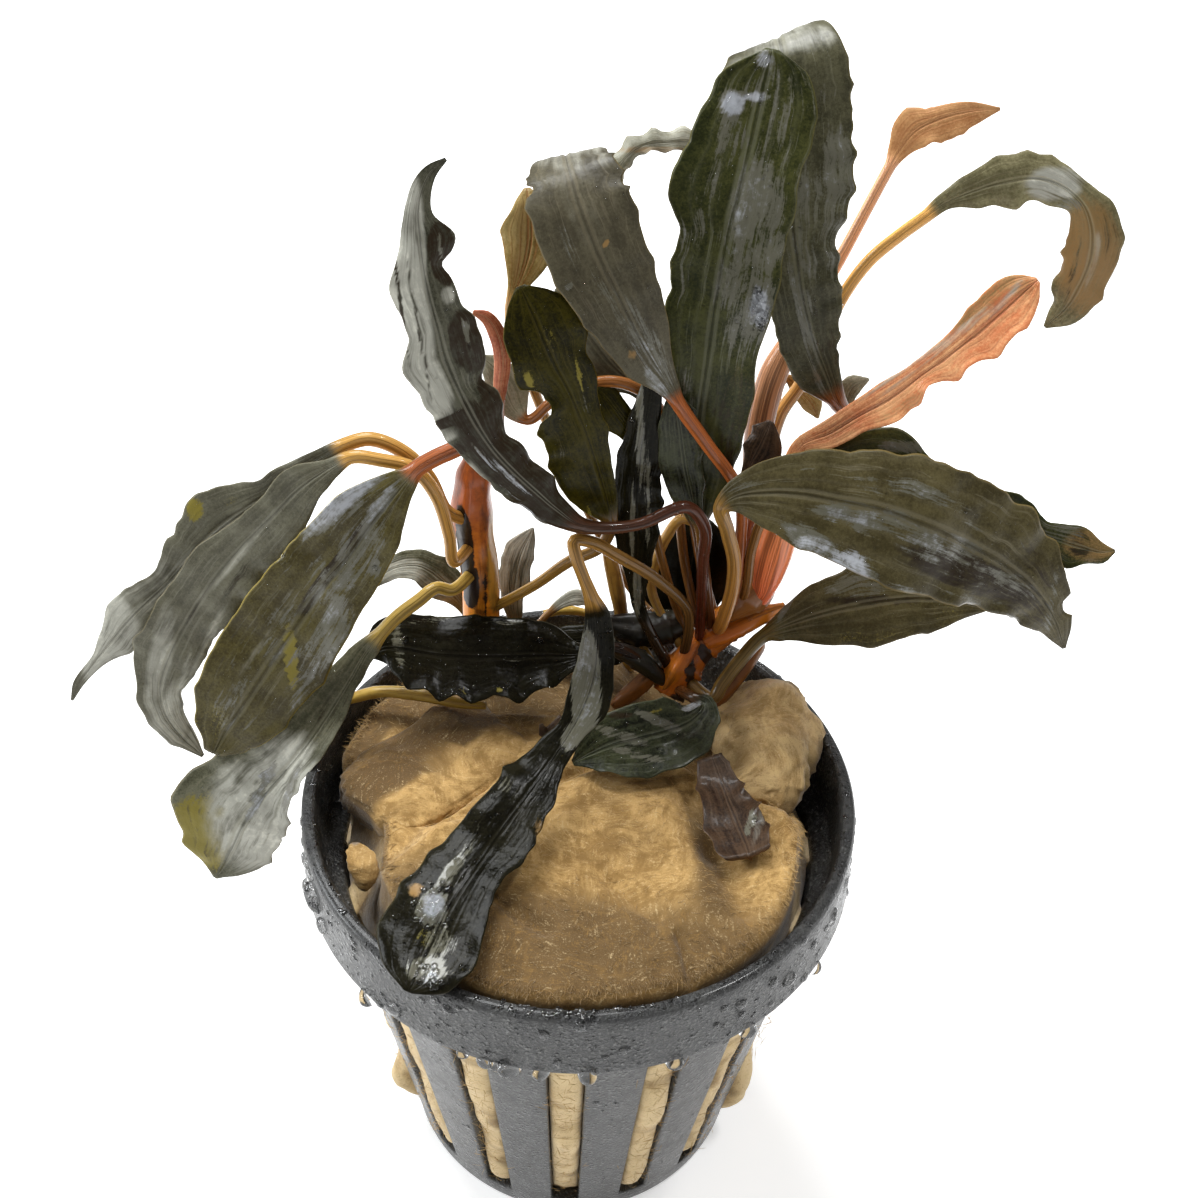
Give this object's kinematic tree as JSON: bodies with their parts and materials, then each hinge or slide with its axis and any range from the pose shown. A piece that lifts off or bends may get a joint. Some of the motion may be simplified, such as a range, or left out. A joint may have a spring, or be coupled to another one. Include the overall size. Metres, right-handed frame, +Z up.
{
  "type": "potted bucephalandra plant",
  "caption": "Aquarium plant with wavy dark olive leaves and orange-red stems, rooted in tan mineral wool in a black slotted net pot.",
  "frame": {"origin": "centre of the flat underside of the pot, on the surface it stands on", "axes": "+Z up along the pot's axis, -Y towards the side the plant is seen from, +X to the viewer's right"},
  "size_m": [0.1051, 0.0619, 0.1149],
  "materials": {
    "green_leaves": "wet dark olive-green leaf with grey sheen",
    "grey_leaves": "damp grey-green leaf, paler along the veins",
    "olive_leaves": "olive-brown leaf with grey glints",
    "black_leaves": "very dark wet leaf, glossy",
    "red_leaves": "young pink-orange leaf with darker stripes",
    "dead_leaves": "dead brown leaf, soft and wet",
    "stems": "orange to red-brown stem, satin",
    "roots": "ochre root, satin",
    "wool": "damp tan mineral fibre, matt",
    "pot": "black moulded plastic, half gloss, wet in places"
  },
  "bodies": {
    "root": {"arching_leaf": "grey_leaves", "back_root": "roots", "big_right_leaf": "green_leaves", "black_middle_leaf": "black_leaves", "blue_grey_back_leaf": "grey_leaves", "dark_olive_leaf": "olive_leaves", "dead_leaf_curl": "dead_leaves", "dead_leaf_piece": "dead_leaves", "dead_maroon_leaf": "dead_leaves", "far_left_lower_leaf": "grey_leaves", "far_left_upper_leaf": "grey_leaves", "green_bit_leaf": "olive_leaves", "inner_dark_leaf": "black_leaves", "leaf_behind_rim": "grey_leaves", "left_back_leaf": "grey_leaves", "left_front_leaf": "olive_leaves", "left_ochre_stalk": "stems", "left_stem": "stems", "long_front_leaf": "black_leaves", "long_wavy_leaf": "green_leaves", "lower_left_leaf": "grey_leaves", "lower_right_leaf": "green_leaves", "mauve_grey_back_leaf": "grey_leaves", "net_pot": "pot", "ochre_stalk": "stems", "olive_brown_back_leaf": "olive_leaves", "pale_back_leaf": "grey_leaves", "pale_bit_leaf": "grey_leaves", "pale_left_leaf": "grey_leaves", "pink_leaf": "red_leaves", "red_young_leaf": "red_leaves", "rhizome": "stems", "right_back_leaf": "green_leaves", "rim_leaf": "black_leaves", "rim_root": "roots", "rock_wool_left": "wool", "rock_wool_plug": "wool", "rock_wool_right": "wool", "small_olive_leaf": "olive_leaves", "small_tan_leaf": "red_leaves", "spoon_leaf": "black_leaves", "tall_front_leaf": "green_leaves", "tall_right_leaf": "green_leaves", "upper_middle_leaf": "green_leaves"}
  },
  "joints": []
}
